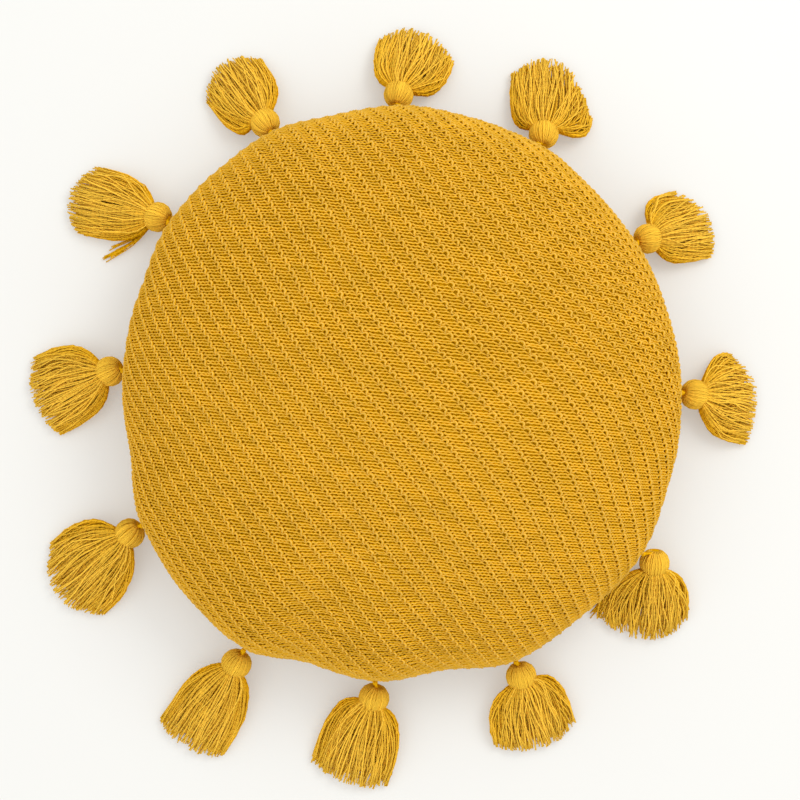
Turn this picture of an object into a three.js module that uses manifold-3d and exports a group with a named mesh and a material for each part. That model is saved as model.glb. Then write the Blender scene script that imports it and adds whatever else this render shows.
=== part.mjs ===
// A round, filled seat cushion in a knitted cover, with twelve yarn tassels sewn to its rim.
// Millimetres, +Z up. The cushion lies on its back on the plane z = 0, centred on the origin,
// with its knitted face up. Each tassel lies on the same plane and points away from the rim.
import * as THREE from "three";
import { mergeVertices } from "three/addons/utils/BufferGeometryUtils.js";
import Module from "manifold-3d";

// The filled body
const BODY_RADIUS = 200;
const CROWN_HEIGHT = 118;
const RIM_HEIGHT = 32;
const FLAT_RADIUS = 140;
const SHOULDER = 0.62; // how far the crown runs level before it turns down, as a share of the radius
const SIDE_RISE = 0.55; // how far the side runs upright above the rim, as a share of the crown
const FOOT_TURN = 0.58; // the same for the underside's turn up from the floor

// The knitted ribs run across the face in parallel ridges
const RIB_COUNT = 38;
const RIB_DIRECTION = -51.6; // degrees from +X
const RIB_RELIEF = 1.7; // from groove to ridge
const RIB_STEPS = 18; // points along a rib, less one
const RIB_FADE = 0.93; // ribs flatten into the seam beyond this share of the way to the rim
const RIB_LIFT = 9; // ribs rise to full height where the underside is this far off the floor

// A tassel: a round head of folded yarn, a tied neck and a skirt of loose locks
const SEAM_GAP = 0.3;
const KNOT_RADIUS = 2.4;
const KNOT_SIDES = 6;
const KNOT_RINGS = 4;
const TIE_RADIUS = 1.3;
const TIE_SIDES = 5;
const HEAD_HEIGHT = 17;
const HEAD_DIP = 22; // degrees that the head leans down towards its skirt
const HEAD_SIDES = 9;
const HEAD_BACK = 9.5; // from the head's middle to its tied end
const HEAD_PROFILE = [
  { along: -HEAD_BACK, radius: 0 },
  { along: -8.6, radius: 4.6 },
  { along: -5.2, radius: 9.8 },
  { along: 0.2, radius: 11.8 },
  { along: 5.4, radius: 9.9 },
  { along: 8.6, radius: 6.6 },
  { along: 10.4, radius: 6.4 },
  { along: 14.5, radius: 8.2 },
  { along: 15.5, radius: 0 },
];
const STAND = 12; // from the rim to the head's middle
const ROOT_OUT = 4; // from the head's middle to the locks' roots
const ROOT_SPREAD = 3; // how far the roots spread sideways, and its growth with the width beside the head
const ROOT_GROWTH = 0.2;
const ROOT_HEIGHT = 13;
const BEND_MIDDLE = 0.35; // where the middle locks bend, as a share of the length
const BEND_SIDE = 22; // where the outer locks bend, less the width beside the head
const BEND_WIDTH = 1.06; // width at the bend, as a share of the width at the tips
const LOCK_COVER = 0.84; // width of a lock, as a share of its place in the skirt
const LOCK_THICKNESS = 3.4;
const LOCK_SETTLE = 0.5; // share of a lock's length over which it comes down to rest
const CORNER_EASE = 2.2; // how late the skirt's length changes from its middle to its corners
const RAGGED_CUT = 0.045; // step between the three cut lengths of neighbouring locks
const LOCK_LAYERS = [
  { locks: 9, rootLift: -4.5, rest: 0, cut: 1 },
  { locks: 7, rootLift: 1.5, rest: 4.4, cut: 0.95 },
];
const LOCK_STATIONS = [
  { way: 0, width: 1, thickness: 0.9 },
  { way: 0.27, width: 1, thickness: 1 },
  { way: 0.55, width: 1, thickness: 1 },
  { way: 1, width: 0.8, thickness: 0.5 },
];

// One row for each tassel, anticlockwise from +X. Directions are degrees from +X.
// at: where it is sewn on. rim: the rim's radius there. between: the rim's radius halfway to the next one.
// aim: the skirt's direction. length: from the head's middle to the tips. left, right: as seen along the
// skirt, its half width, the share of the length that its corner reaches, and its width beside the head.
const TASSELS = [
  { at: 0.3, rim: 195, between: 194.5, aim: 354, length: 45, left: [32, 0.55, 13], right: [29, 0.92, 14] },
  { at: 32.8, rim: 196, between: 197, aim: 14, length: 48, left: [29, 0.62, 24], right: [22, 0.88, 18] },
  { at: 61.8, rim: 201.5, between: 202, aim: 85, length: 57, left: [25, 0.78, 24], right: [33, 0.33, 28] },
  { at: 90.8, rim: 205, between: 204, aim: 75, length: 51, left: [24, 0.75, 18], right: [30, 0.72, 20] },
  { at: 116.7, rim: 208, between: 205.5, aim: 125, length: 55, left: [24, 0.72, 26], right: [24, 0.78, 13] },
  { at: 143.8, rim: 205, between: 198, aim: 165, length: 66, left: [23, 0.84, 13], right: [25, 0.82, 11] },
  { at: 175.2, rim: 197, between: 195.5, aim: 202, length: 58, left: [26, 0.86, 13], right: [31, 0.82, 15] },
  { at: 206.8, rim: 204, between: 206.5, aim: 221, length: 67, left: [29, 0.78, 9], right: [32, 0.72, 13] },
  { at: 238.2, rim: 210, between: 199, aim: 238, length: 68, left: [25, 0.88, 13], right: [24, 0.92, 12] },
  { at: 264.5, rim: 201.5, between: 195, aim: 252, length: 62, left: [27, 0.90, 18], right: [27, 0.90, 22] },
  { at: 292.8, rim: 202, between: 199.5, aim: 286, length: 52, left: [27, 0.80, 23], right: [30, 0.82, 15] },
  { at: 326.3, rim: 201, between: 196, aim: 268, length: 53, left: [25, 0.70, 17], right: [37, 0.75, 12] },
];

const COVER_COLOUR = 0xd9a528;
const TASSEL_COLOUR = 0xdcaa34;

const wasm = await Module();
wasm.setup();

const { degToRad, lerp, smoothstep } = THREE.MathUtils;
const FULL_TURN = 360;

// The rim's radius in a direction given in degrees, eased from one row of the table to the next.
function rimRadius(direction) {
  const turned = THREE.MathUtils.euclideanModulo(direction - TASSELS[0].at, FULL_TURN) + TASSELS[0].at;
  const row = Math.max(TASSELS.findLastIndex((tassel) => tassel.at <= turned), 0);
  const here = TASSELS[row];
  const next = TASSELS[(row + 1) % TASSELS.length];
  const span = THREE.MathUtils.euclideanModulo(next.at - here.at, FULL_TURN);
  const share = (turned - here.at) / span;
  if (share < 0.5) return lerp(here.rim, here.between, smoothstep(share, 0, 0.5));
  return lerp(here.between, next.rim, smoothstep(share, 0.5, 1));
}

// The body's two profiles, from the middle out to the rim, as radius and height.
const point = (radius, height) => new THREE.Vector2(radius, height);
const faceProfile = new THREE.CubicBezierCurve(
  point(0, CROWN_HEIGHT),
  point(BODY_RADIUS * SHOULDER, CROWN_HEIGHT),
  point(BODY_RADIUS, lerp(RIM_HEIGHT, CROWN_HEIGHT, SIDE_RISE)),
  point(BODY_RADIUS, RIM_HEIGHT),
);
const baseProfile = new THREE.CurvePath();
baseProfile.add(new THREE.LineCurve(point(0, 0), point(FLAT_RADIUS, 0)));
baseProfile.add(
  new THREE.CubicBezierCurve(
    point(FLAT_RADIUS, 0),
    point(lerp(FLAT_RADIUS, BODY_RADIUS, FOOT_TURN), 0),
    point(BODY_RADIUS, RIM_HEIGHT * (1 - FOOT_TURN)),
    point(BODY_RADIUS, RIM_HEIGHT),
  ),
);

// A point of the body. along and across are places on the flat cloth, as shares of its radius.
function bodyPoint(profile, upward, along, across, ridge) {
  const way = Math.min(Math.hypot(along, across), 1);
  const angle = Math.atan2(across, along) + degToRad(RIB_DIRECTION);
  const place = profile.getPointAt(way);
  const run = profile.getTangentAt(way);
  const normal = point(-run.y, run.x).multiplyScalar(upward);
  const offFloor = upward > 0 ? 1 : smoothstep(place.y, 0, RIB_LIFT);
  const raise = (ridge * RIB_RELIEF * offFloor * (1 - smoothstep(way, RIB_FADE, 1))) / 2;
  place.x *= rimRadius(THREE.MathUtils.radToDeg(angle)) / BODY_RADIUS;
  place.addScaledVector(normal, raise);
  return [place.x * Math.cos(angle), place.x * Math.sin(angle), place.y];
}

// The body's closed skin: a line of points along each ridge and each groove, on the face and on the base.
// The first and last lines follow the rim. Face and base meet in the points of the rim's seam.
function bodyGeometry() {
  const lines = 2 * RIB_COUNT;
  const endArc = Math.acos(1 - 1 / lines);
  const positions = [];
  const known = new Map();
  const triangles = [];
  const clothPlace = (line, step) => {
    const even = (2 * step) / RIB_STEPS - 1;
    if (line === 0 || line === lines) {
      const angle = even * endArc;
      return { along: Math.sin(angle), across: (line === 0 ? -1 : 1) * Math.cos(angle) };
    }
    const across = (2 * line) / lines - 1;
    const share = (even + Math.sin((even * Math.PI) / 2)) / 2;
    return { along: Math.sqrt(1 - across * across) * share, across };
  };
  const vertex = (profile, upward, line, step) => {
    const onSeam = line === 0 || line === lines || step === 0 || step === RIB_STEPS;
    const key = [onSeam ? "seam" : upward, line, step].join(" ");
    if (!known.has(key)) {
      const { along, across } = clothPlace(line, step);
      known.set(key, positions.length / 3);
      positions.push(...bodyPoint(profile, upward, along, across, line % 2 ? 1 : -1));
    }
    return known.get(key);
  };
  for (const [profile, upward] of [[faceProfile, 1], [baseProfile, -1]]) {
    for (let line = 0; line < lines; line++) {
      for (let step = 0; step < RIB_STEPS; step++) {
        const a = vertex(profile, upward, line, step);
        const b = vertex(profile, upward, line, step + 1);
        const c = vertex(profile, upward, line + 1, step + 1);
        const d = vertex(profile, upward, line + 1, step);
        if (upward > 0) triangles.push(a, b, c, a, c, d);
        else triangles.push(a, c, b, a, d, c);
      }
    }
  }
  return indexedGeometry(positions, triangles);
}

function indexedGeometry(positions, triangles) {
  const geometry = new THREE.BufferGeometry();
  geometry.setAttribute("position", new THREE.Float32BufferAttribute(positions, 3));
  geometry.setIndex(triangles);
  return geometry;
}

// A closed geometry as a solid that can be joined to others.
function solid(geometry) {
  geometry.deleteAttribute("normal");
  geometry.deleteAttribute("uv");
  const merged = mergeVertices(geometry);
  const triVerts = new Uint32Array(merged.index.array);
  const vertProperties = new Float32Array(merged.attributes.position.array);
  return new wasm.Manifold(new wasm.Mesh({ numProp: 3, vertProperties, triVerts }));
}

function solidGeometry(made) {
  const mesh = made.getMesh();
  return indexedGeometry(mesh.vertProperties, Array.from(mesh.triVerts));
}

// The head and its neck, turned about an axis that dips from the tied end towards the skirt.
const headMiddle = new THREE.Vector3(0, 0, HEAD_HEIGHT);
const headAxis = new THREE.Vector3(Math.cos(degToRad(HEAD_DIP)), 0, -Math.sin(degToRad(HEAD_DIP)));
function headSolid() {
  const outline = HEAD_PROFILE.map(({ along, radius }) => point(radius, along));
  const geometry = new THREE.LatheGeometry(outline, HEAD_SIDES);
  const upright = new THREE.Vector3(0, 1, 0);
  geometry.applyQuaternion(new THREE.Quaternion().setFromUnitVectors(upright, headAxis));
  geometry.translate(headMiddle.x, headMiddle.y, headMiddle.z);
  return solid(geometry);
}

// The tie from the head's back end to the knot at the seam.
function tieSolids(knot) {
  const back = headMiddle.clone().addScaledVector(headAxis, -HEAD_BACK / 2);
  const run = knot.clone().sub(back);
  const tie = new THREE.CylinderGeometry(TIE_RADIUS, TIE_RADIUS, run.length(), TIE_SIDES);
  const upright = new THREE.Vector3(0, 1, 0);
  tie.applyQuaternion(new THREE.Quaternion().setFromUnitVectors(upright, run.clone().normalize()));
  const middle = back.clone().add(knot).divideScalar(2);
  tie.translate(middle.x, middle.y, middle.z);
  const ball = new THREE.SphereGeometry(KNOT_RADIUS, KNOT_SIDES, KNOT_RINGS);
  ball.translate(knot.x, knot.y, knot.z);
  return [solid(tie), solid(ball)];
}

// The middle line of a skirt's locks, seen from above. place runs from -1, right, to 1, left,
// and way from 0 at the root to 1 at the tip.
function lockMiddle(tassel, place, way) {
  const [half, corner, beside] = place > 0 ? tassel.left : tassel.right;
  const wide = Math.abs(place);
  const root = point(ROOT_OUT, (ROOT_SPREAD + ROOT_GROWTH * beside) * place);
  const tip = point(tassel.length * lerp(1, corner, wide ** CORNER_EASE), half * place);
  const bend = point(lerp(BEND_MIDDLE * tassel.length, BEND_SIDE - beside, wide ** 2), BEND_WIDTH * tip.y);
  return new THREE.QuadraticBezierCurve(root, bend, tip).getPoint(way);
}

// One lock of the skirt: a three-sided strip with a level underside, narrower than its share of the fan.
function lockSolid(tassel, layer, number) {
  const share = 2 / layer.locks;
  const place = share * (number + 0.5) - 1;
  const cut = layer.cut * (1 - RAGGED_CUT * ((number * 2) % 3));
  const positions = [];
  for (const station of LOCK_STATIONS) {
    const way = station.way * cut;
    const middle = lockMiddle(tassel, place, way);
    const edge = lockMiddle(tassel, place + share / 2, way).sub(lockMiddle(tassel, place - share / 2, way));
    edge.multiplyScalar((LOCK_COVER * station.width) / 2);
    const drop = Math.max(1 - way / LOCK_SETTLE, 0) ** 2;
    const low = lerp(layer.rest, ROOT_HEIGHT + layer.rootLift, drop);
    positions.push(middle.x + edge.x, middle.y + edge.y, low);
    positions.push(middle.x - edge.x, middle.y - edge.y, low);
    positions.push(middle.x, middle.y, low + LOCK_THICKNESS * station.thickness);
  }
  const triangles = [0, 1, 2];
  for (let first = 0; first < positions.length / 3 - 3; first += 3) {
    for (let corner = 0; corner < 3; corner++) {
      const a = first + corner;
      const b = first + ((corner + 1) % 3);
      triangles.push(a, a + 3, b, b, a + 3, b + 3);
    }
  }
  const last = positions.length / 3 - 3;
  triangles.push(last, last + 2, last + 1);
  return solid(indexedGeometry(positions, triangles));
}

// A tassel in its own frame: its head's middle over the origin, its skirt towards +X.
function tasselGeometry(tassel, knot) {
  let whole = headSolid();
  for (const piece of tieSolids(knot)) whole = whole.add(piece);
  for (const layer of LOCK_LAYERS) {
    for (let number = 0; number < layer.locks; number++) {
      whole = whole.add(lockSolid(tassel, layer, number));
    }
  }
  return solidGeometry(whole);
}

function yarn(colour) {
  return new THREE.MeshStandardMaterial({ color: colour, roughness: 0.9, metalness: 0 });
}

const roundCushion = new THREE.Group();
const upAxis = new THREE.Vector3(0, 0, 1);

const cushion = new THREE.Mesh(bodyGeometry(), yarn(COVER_COLOUR));
cushion.name = "cushion";
roundCushion.add(cushion);

TASSELS.forEach((tassel, number) => {
  const outward = new THREE.Vector3(1, 0, 0).applyAxisAngle(upAxis, degToRad(tassel.at));
  const foot = outward.clone().multiplyScalar(tassel.rim + STAND);
  const knot = outward.clone().multiplyScalar(tassel.rim + SEAM_GAP + KNOT_RADIUS).sub(foot);
  knot.applyAxisAngle(upAxis, -degToRad(tassel.aim));
  knot.z = RIM_HEIGHT;
  const mesh = new THREE.Mesh(tasselGeometry(tassel, knot), yarn(TASSEL_COLOUR));
  mesh.name = "tassel_" + String(number + 1).padStart(2, "0");
  mesh.position.copy(foot);
  mesh.rotation.z = degToRad(tassel.aim);
  roundCushion.add(mesh);
});

export default roundCushion;
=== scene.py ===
"""Looks of a round knitted seat cushion with twelve yarn tassels: an add-on that also runs as a script."""

import math

import bmesh
import bpy
import numpy as np
from bpy.props import FloatProperty, FloatVectorProperty, IntProperty, PointerProperty
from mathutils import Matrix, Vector


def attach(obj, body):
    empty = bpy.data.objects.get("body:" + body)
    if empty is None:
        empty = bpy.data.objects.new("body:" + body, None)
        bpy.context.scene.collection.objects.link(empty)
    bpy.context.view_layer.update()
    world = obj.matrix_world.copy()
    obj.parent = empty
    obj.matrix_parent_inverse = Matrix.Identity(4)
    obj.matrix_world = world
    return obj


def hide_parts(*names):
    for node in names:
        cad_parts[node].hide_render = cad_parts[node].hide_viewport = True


bl_info = {
    "name": "Knitted Seat Cushion",
    "version": (1, 0, 0),
    "blender": (4, 5, 0),
    "location": "View3D > Sidebar > Cushion",
    "description": "Knits the cushion's cover, ties its tassels and sets the stage around them",
    "category": "Object",
}

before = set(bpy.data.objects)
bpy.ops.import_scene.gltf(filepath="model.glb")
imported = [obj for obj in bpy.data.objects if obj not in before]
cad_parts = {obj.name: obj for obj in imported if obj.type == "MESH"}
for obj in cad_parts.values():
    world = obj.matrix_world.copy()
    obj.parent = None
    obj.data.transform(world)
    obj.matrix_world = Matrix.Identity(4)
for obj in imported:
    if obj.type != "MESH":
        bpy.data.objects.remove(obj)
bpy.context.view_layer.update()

MM = 0.001
TAU = 2 * math.pi
UPWARD = (0, 0, 1.0)
BODY = "root"

# Where each tassel is sewn on (degrees round the rim), the rim's radius there and halfway to the next tassel,
# where its skirt points, and the skirt's length, in millimetres. Then for its left and its right: the half
# width, the share of the length that the corner reaches, and the width beside the head.
TASSELS = (
    (0.3, 195.0, 194.5, 354, 45, (32, 0.55, 13), (29, 0.92, 14)),
    (32.8, 196.0, 197.0, 14, 48, (29, 0.62, 24), (22, 0.88, 18)),
    (61.8, 201.5, 202.0, 85, 57, (25, 0.78, 24), (33, 0.33, 28)),
    (90.8, 205.0, 204.0, 75, 51, (24, 0.75, 18), (30, 0.72, 20)),
    (116.7, 208.0, 205.5, 125, 55, (24, 0.72, 26), (24, 0.78, 13)),
    (143.8, 205.0, 198.0, 165, 66, (23, 0.84, 13), (25, 0.82, 11)),
    (175.2, 197.0, 195.5, 202, 58, (26, 0.86, 13), (31, 0.82, 15)),
    (206.8, 204.0, 206.5, 221, 67, (29, 0.78, 9), (32, 0.72, 13)),
    (238.2, 210.0, 199.0, 238, 68, (25, 0.88, 13), (24, 0.92, 12)),
    (264.5, 201.5, 195.0, 252, 62, (27, 0.90, 18), (27, 0.90, 22)),
    (292.8, 202.0, 199.5, 286, 52, (27, 0.80, 23), (30, 0.82, 15)),
    (326.3, 201.0, 196.0, 268, 53, (25, 0.70, 17), (37, 0.75, 12)),
)
# Locks that lie apart from their skirts: the tassel's place in the table and the tip in its own axes.
LOOSE_LOCKS = ((5, 31, 37), (11, 38, -44))

# Shares that shape the two curves of the body's section.
SHOULDER = 0.62
SIDE_RISE = 0.55
FOOT_TURN = 0.58
FOOT_LIFT = 0.42

# One unit of the knitting as its yarn runs: out from under the hook before, along the upper bar, round the
# hook, on towards the row below, and back along the lower bar. In stitches along the row, rows across it,
# millimetres out, and share of the yarn's thickness.
PATTERN_REPEAT = 4
UNIT = np.array((
    (-0.36, 0.16, -0.50, 0.90), (0.12, 0.36, 0.00, 1.00), (0.62, 0.15, 0.12, 1.00),
    (1.14, 0.30, 0.00, 1.00), (1.64, 0.195, 0.06, 1.00), (2.12, 0.295, 0.00, 1.00),
    (2.56, 0.155, 0.10, 1.00), (2.96, 0.39, 0.16, 1.00), (3.38, 0.35, 0.38, 1.08),
    (3.66, 0.13, 0.48, 1.15), (3.62, -0.12, 0.46, 1.15), (3.52, -0.33, 0.32, 1.08),
    (3.74, -0.53, 0.06, 1.00), (3.40, -0.44, -0.95, 0.85), (2.60, -0.155, -0.06, 1.00),
    (2.12, -0.295, 0.04, 1.00), (1.66, -0.195, 0.00, 1.00), (1.18, -0.30, 0.04, 1.00),
    (0.66, -0.15, -0.10, 1.00), (0.16, -0.36, 0.00, 1.00), (-0.34, -0.16, -0.50, 0.90),
))
RIB_CREST = 3.6
# Unevenness of the knitting: places along a unit where its drift is drawn, the shares of the looseness at
# single points and across the rows, and the spread of the units' heights and of the yarn's thickness.
DRIFT_KEYS = 7
POINT_LOOSENESS = 0.5
ACROSS_LOOSENESS = 0.7
UNIT_HEIGHTS = (0.9, 1.08)
YARN_THICKNESSES = (0.92, 1.08)
# Rows over which their growth sets in, and the ruler along a row that counts its stitches, in metres.
GROWTH_ROWS = 10
RULER = np.linspace(-0.32, 0.32, 641)
# How far cut ends are tucked in, where the relief starts to fade at the rim, over what share and by how much,
# and the height to which the relief counts as depth for the painted shade, which colours lower yarn darker.
END_TUCK = 1.6 * MM
RIM_FADE = (0.88, 0.12)
RIM_FLATTENING = 0.65
PAINTED_SHADE_SPAN = 6.0 * MM
# How far the middle of the yarn lies from the body's surface, front and back, and the pitch of its twist.
FRONT_LEVEL = -0.9 * MM
BACK_LEVEL = -1.2 * MM
COVER_PITCH = 0.0042
# The filled body: height under which it rests on the floor, share of the inset there, steps round it, and the
# width that one half of its map spans.
REST_HEIGHT = 0.010
REST_INSET = 0.3
BODY_STEPS = 144
CHART_SPAN = 0.88

# How far a tassel's head stands off the rim, and the height of the seam that it is sewn to, in metres.
HEAD_STAND = 12 * MM
SEAM_HEIGHT = 30 * MM
# A cut strand runs from its root under the head, drawn towards a bend, to its tip. In millimetres: how far
# out the roots lie, their spread and its growth with the width beside the head, their height and rounding.
ROOT_OUT = 4.0
ROOT_SPREAD = 3
ROOT_GROWTH = 0.2
ROOT_HEIGHT = 17
ROOT_ROUNDING = 5.5
# The bend: share of the length in the middle, distance at the sides, share of the tip's width, heights of the
# lowest and the highest strand. The tips: lowest height, rise with the level, and how the corners are eased.
BEND_MIDDLE = 0.35
BEND_SIDE = 22
BEND_WIDTH = 1.06
BEND_HEIGHTS = (3.0, 24.0)
TIP_HEIGHT = 0.7
TIP_RISE = 6.5
CORNER_EASE = 2.2
# Points along a strand, locks that the strands gather in, their pull, the sway of single strands, and the
# shares of the skirt's length that they reach.
STRAND_POINTS = 8
LOCKS = 17
LOCK_PULL = 0.35
STRAND_SWAY = 0.15
STRAND_WAVE = 0.09
STRAND_REACH = (0.86, 1.03)
FLOOR_SHARE = 1.25
STRAND_PITCH = 0.0034
# The head: half length along its axis, thickness of its yarns, and the pitch of their twist.
HEAD_HALF = 9.6 * MM
HEAD_YARN = 0.80 * MM
HEAD_PITCH = 0.0040
# Where the camera aims: across from the middle, up from the floor, and down the picture.
AIM_ACROSS = -0.0021
AIM_HEIGHT = 0.040
AIM_DROP = 0.0049


class CushionSizes(bpy.types.PropertyGroup):
    """Sizes of the filled body under the knitting."""

    body_radius: FloatProperty(
        name="Body Radius", description="Radius that the rim's table is a share of",
        default=0.200, unit="LENGTH")
    crown_height: FloatProperty(
        name="Crown Height", description="Height of the middle of the face", default=0.118, unit="LENGTH")
    rim_height: FloatProperty(
        name="Rim Height", description="Height of the seam round the rim", default=0.032, unit="LENGTH")
    floor_radius: FloatProperty(
        name="Floor Radius", description="Radius of the patch that lies on the floor",
        default=0.140, unit="LENGTH")
    lining_inset: FloatProperty(
        name="Lining Inset", description="How far the lining lies under the cover",
        default=0.0021, unit="LENGTH")
    softness: FloatProperty(
        name="Softness", description="Depth of the filling's gentle unevenness",
        default=0.0009, unit="LENGTH")


class KnitSizes(bpy.types.PropertyGroup):
    """Sizes of the stitches."""

    stitch_width: FloatProperty(
        name="Stitch Width", description="Width of one stitch near the rim", default=0.00315, unit="LENGTH")
    stretch: FloatProperty(
        name="Stretch", description="How much wider a stitch is where the cover is stretched most",
        default=0.00115, unit="LENGTH")
    stretch_at: FloatVectorProperty(
        name="Stretch At", description="Where the cover is stretched most, from the middle", size=2,
        default=(0.060, 0.005), unit="LENGTH")
    stretch_reach: FloatProperty(
        name="Stretch Reach", description="How far the stretch spreads", default=0.080, unit="LENGTH")
    row_height: FloatProperty(
        name="Row Height", description="Height of one row in the middle", default=0.00415, unit="LENGTH")
    row_growth: FloatProperty(
        name="Row Growth", description="Share by which rows are taller in the upper half", default=0.055)
    row_tilt: FloatProperty(
        name="Row Tilt", description="Turn of the rows across the face",
        default=math.radians(-5), subtype="ANGLE")
    yarn_radius: FloatProperty(
        name="Yarn Radius", description="Radius of the yarn", default=0.00093, unit="LENGTH")
    looseness: FloatProperty(
        name="Looseness", description="Unevenness of the stitches, as a share of one", default=0.056)
    rib_depth: FloatProperty(
        name="Rib Depth", description="How far the slanting ribs stand up", default=0.00060, unit="LENGTH")
    face_parts: IntProperty(
        name="Face Parts", description="Meshes that the front panel is divided into", default=4)
    back_inner: FloatProperty(
        name="Back Inner", description="Where the back's knitting starts, from the middle", default=0.162,
        unit="LENGTH")


class TasselSizes(bpy.types.PropertyGroup):
    """Sizes of the tassels' yarn."""

    strands: IntProperty(name="Strands", description="Cut strands in one skirt", default=340)
    strand_radius: FloatProperty(
        name="Strand Radius", description="Radius of a cut strand", default=0.00050, unit="LENGTH")
    head_yarns: IntProperty(name="Head Yarns", description="Yarns folded over one head", default=56)
    head_radius: FloatProperty(
        name="Head Radius", description="Radius of a head", default=0.0110, unit="LENGTH")
    head_height: FloatProperty(
        name="Head Height", description="Height of a head's middle", default=0.017, unit="LENGTH")
    head_dip: FloatProperty(
        name="Head Dip", description="How far a head tips to its skirt",
        default=math.radians(22), subtype="ANGLE")
    stray_threads: IntProperty(name="Stray Threads", description="Loose threads on one skirt", default=5)


class YarnColours(bpy.types.PropertyGroup):
    """Colours of the yarn and the stage."""

    # Painted highlight: the cover colour goes on the yarn's crests and is paler than the shade colour, as if
    # lit.
    cover: FloatVectorProperty(
        name="Cover", description="Yarn of the cover",
        subtype="COLOR", size=3, min=0, max=1, default=(0.745, 0.450, 0.085))
    # Painted shade: the colour mixed in where the cover's yarn lies deep or turns its sides away, and on the
    # lining between the yarns.
    cover_painted_shade: FloatVectorProperty(
        name="Cover Shade", description="Yarn deep between the stitches",
        subtype="COLOR", size=3, min=0, max=1, default=(0.72, 0.378, 0.002))
    # Painted highlight: the tassel colour goes on the top strands and crests, paler as if lit.
    tassel: FloatVectorProperty(
        name="Tassel", description="Yarn of the tassels",
        subtype="COLOR", size=3, min=0, max=1, default=(0.885, 0.534, 0.058))
    # Painted shade: the colour mixed in on low strands, near the heads and on the heads' core, binding and
    # tie.
    tassel_painted_shade: FloatVectorProperty(
        name="Tassel Shade", description="Yarn deep in the skirts",
        subtype="COLOR", size=3, min=0, max=1, default=(0.790, 0.416, 0.002))
    floor: FloatVectorProperty(
        name="Floor", description="Pale floor",
        subtype="COLOR", size=3, min=0, max=1, default=(0.509, 0.512, 0.497))


class StageSizes(bpy.types.PropertyGroup):
    """Camera and lights."""

    lens: FloatProperty(name="Lens", description="Focal length in millimetres", default=102.98)
    distance: FloatProperty(
        name="Distance", description="From the camera to the cushion", default=1.600, unit="LENGTH")
    elevation: FloatProperty(
        name="Elevation", description="How steeply the camera looks down",
        default=math.radians(85), subtype="ANGLE")
    key_power: FloatProperty(name="Key Power", description="Power of the key light in watts", default=11.0)
    fill_power: FloatProperty(name="Fill Power", description="Power of the fill light in watts", default=3.0)
    sky_strength: FloatProperty(name="Sky Strength", description="Strength of the even light", default=1.13)
    floor_glow: FloatProperty(
        name="Floor Glow", description="Light that the pale floor gives by itself", default=0.28)


def smooth(share):
    """An ease from 0 to 1."""
    return share * share * (3 - 2 * share)


def mix(start, end, share):
    """A value part of the way from start to end."""
    return start + (end - start) * share


def bezier(start, near, far, end, count=160):
    """Points of one cubic curve."""
    t = np.linspace(0, 1, count)[:, None]
    points = [np.array(point, float) for point in (start, near, far, end)]
    return (points[0] * (1 - t) ** 3 + 3 * points[1] * t * (1 - t) ** 2
            + 3 * points[2] * t * t * (1 - t) + points[3] * t ** 3)


def face_section(sizes):
    """The face's section from its middle to the rim, as radius and height."""
    radius, top, rim = sizes.body_radius, sizes.crown_height, sizes.rim_height
    return bezier((0, top), (radius * SHOULDER, top), (radius, mix(rim, top, SIDE_RISE)), (radius, rim))


def base_section(sizes):
    """The back's section from the middle of its floor patch to the rim, as radius and height."""
    radius, flat, rim = sizes.body_radius, sizes.floor_radius, sizes.rim_height
    patch = np.stack([np.linspace(0, flat, 60), np.zeros(60)], 1)
    turn = bezier((flat, 0), (mix(flat, radius, FOOT_TURN), 0), (radius, rim * FOOT_LIFT), (radius, rim))
    return np.concatenate([patch[:-1], turn])


def rim_radius(angle):
    """The rim's radius in metres in each direction: out at the tassels, drawn in or out between them."""
    places = [math.radians(row[0]) for row in TASSELS]
    places.append(places[0] + TAU)
    angle = (np.asarray(angle) - places[0]) % TAU + places[0]
    radius = np.zeros_like(angle)
    for index, row in enumerate(TASSELS):
        after = TASSELS[(index + 1) % len(TASSELS)]
        start, end = places[index], places[index + 1]
        share = (angle - start) / (end - start)
        inside = (share >= 0) & (share < 1)
        first = mix(row[1], row[2], smooth(np.clip(share * 2, 0, 1)))
        second = mix(row[2], after[1], smooth(np.clip(share * 2 - 1, 0, 1)))
        radius = np.where(inside, np.where(share < 0.5, first, second), radius)
    return radius * MM


def drawn(radius, angle, body_radius):
    """A radius of the round section drawn in or out with the rim, more so the nearer it is."""
    return radius * (1 + (rim_radius(angle) / body_radius - 1) * (radius / body_radius) ** 2)


class Panel:
    """One panel of the cover: places on it are lengths from its middle, laid flat."""

    def __init__(self, section, body_radius, side):
        self.section = section
        self.body_radius = body_radius
        self.side = side
        steps = np.hypot(*np.diff(section, axis=0).T)
        self.lengths = np.concatenate([[0], np.cumsum(steps)])
        self.reach = self.lengths[-1]

    def at(self, along, across):
        """Where a flat place lies on the filled body."""
        way = np.hypot(along, across)
        angle = np.arctan2(across, along)
        radius = drawn(np.interp(way, self.lengths, self.section[:, 0]), angle, self.body_radius)
        height = np.interp(way, self.lengths, self.section[:, 1])
        return np.stack([radius * np.cos(angle), radius * np.sin(angle), height], -1)

    def normal(self, along, across):
        """The outward direction at a flat place."""
        step = 0.8 * MM
        way = np.maximum(np.hypot(along, across), 1e-6)
        keep = np.minimum(1, (self.reach - 2 * step) / way)
        along, across = along * keep, across * keep
        one = self.at(along + step, across) - self.at(along - step, across)
        two = self.at(along, across + step) - self.at(along, across - step)
        out = np.cross(one, two) * self.side
        return out / np.maximum(np.linalg.norm(out, axis=-1, keepdims=True), 1e-12)


def unevenness(along, across, depth):
    """Gentle hollows of a hand-filled body."""
    waves = (np.sin(along * 31 + 1.3) * np.sin(across * 27 + 0.4)
             + 0.7 * np.sin(along * 47 - across * 38 + 2.1) + 0.5 * np.sin(across * 66 + along * 22 + 0.9))
    return depth * waves / 2.2


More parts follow.
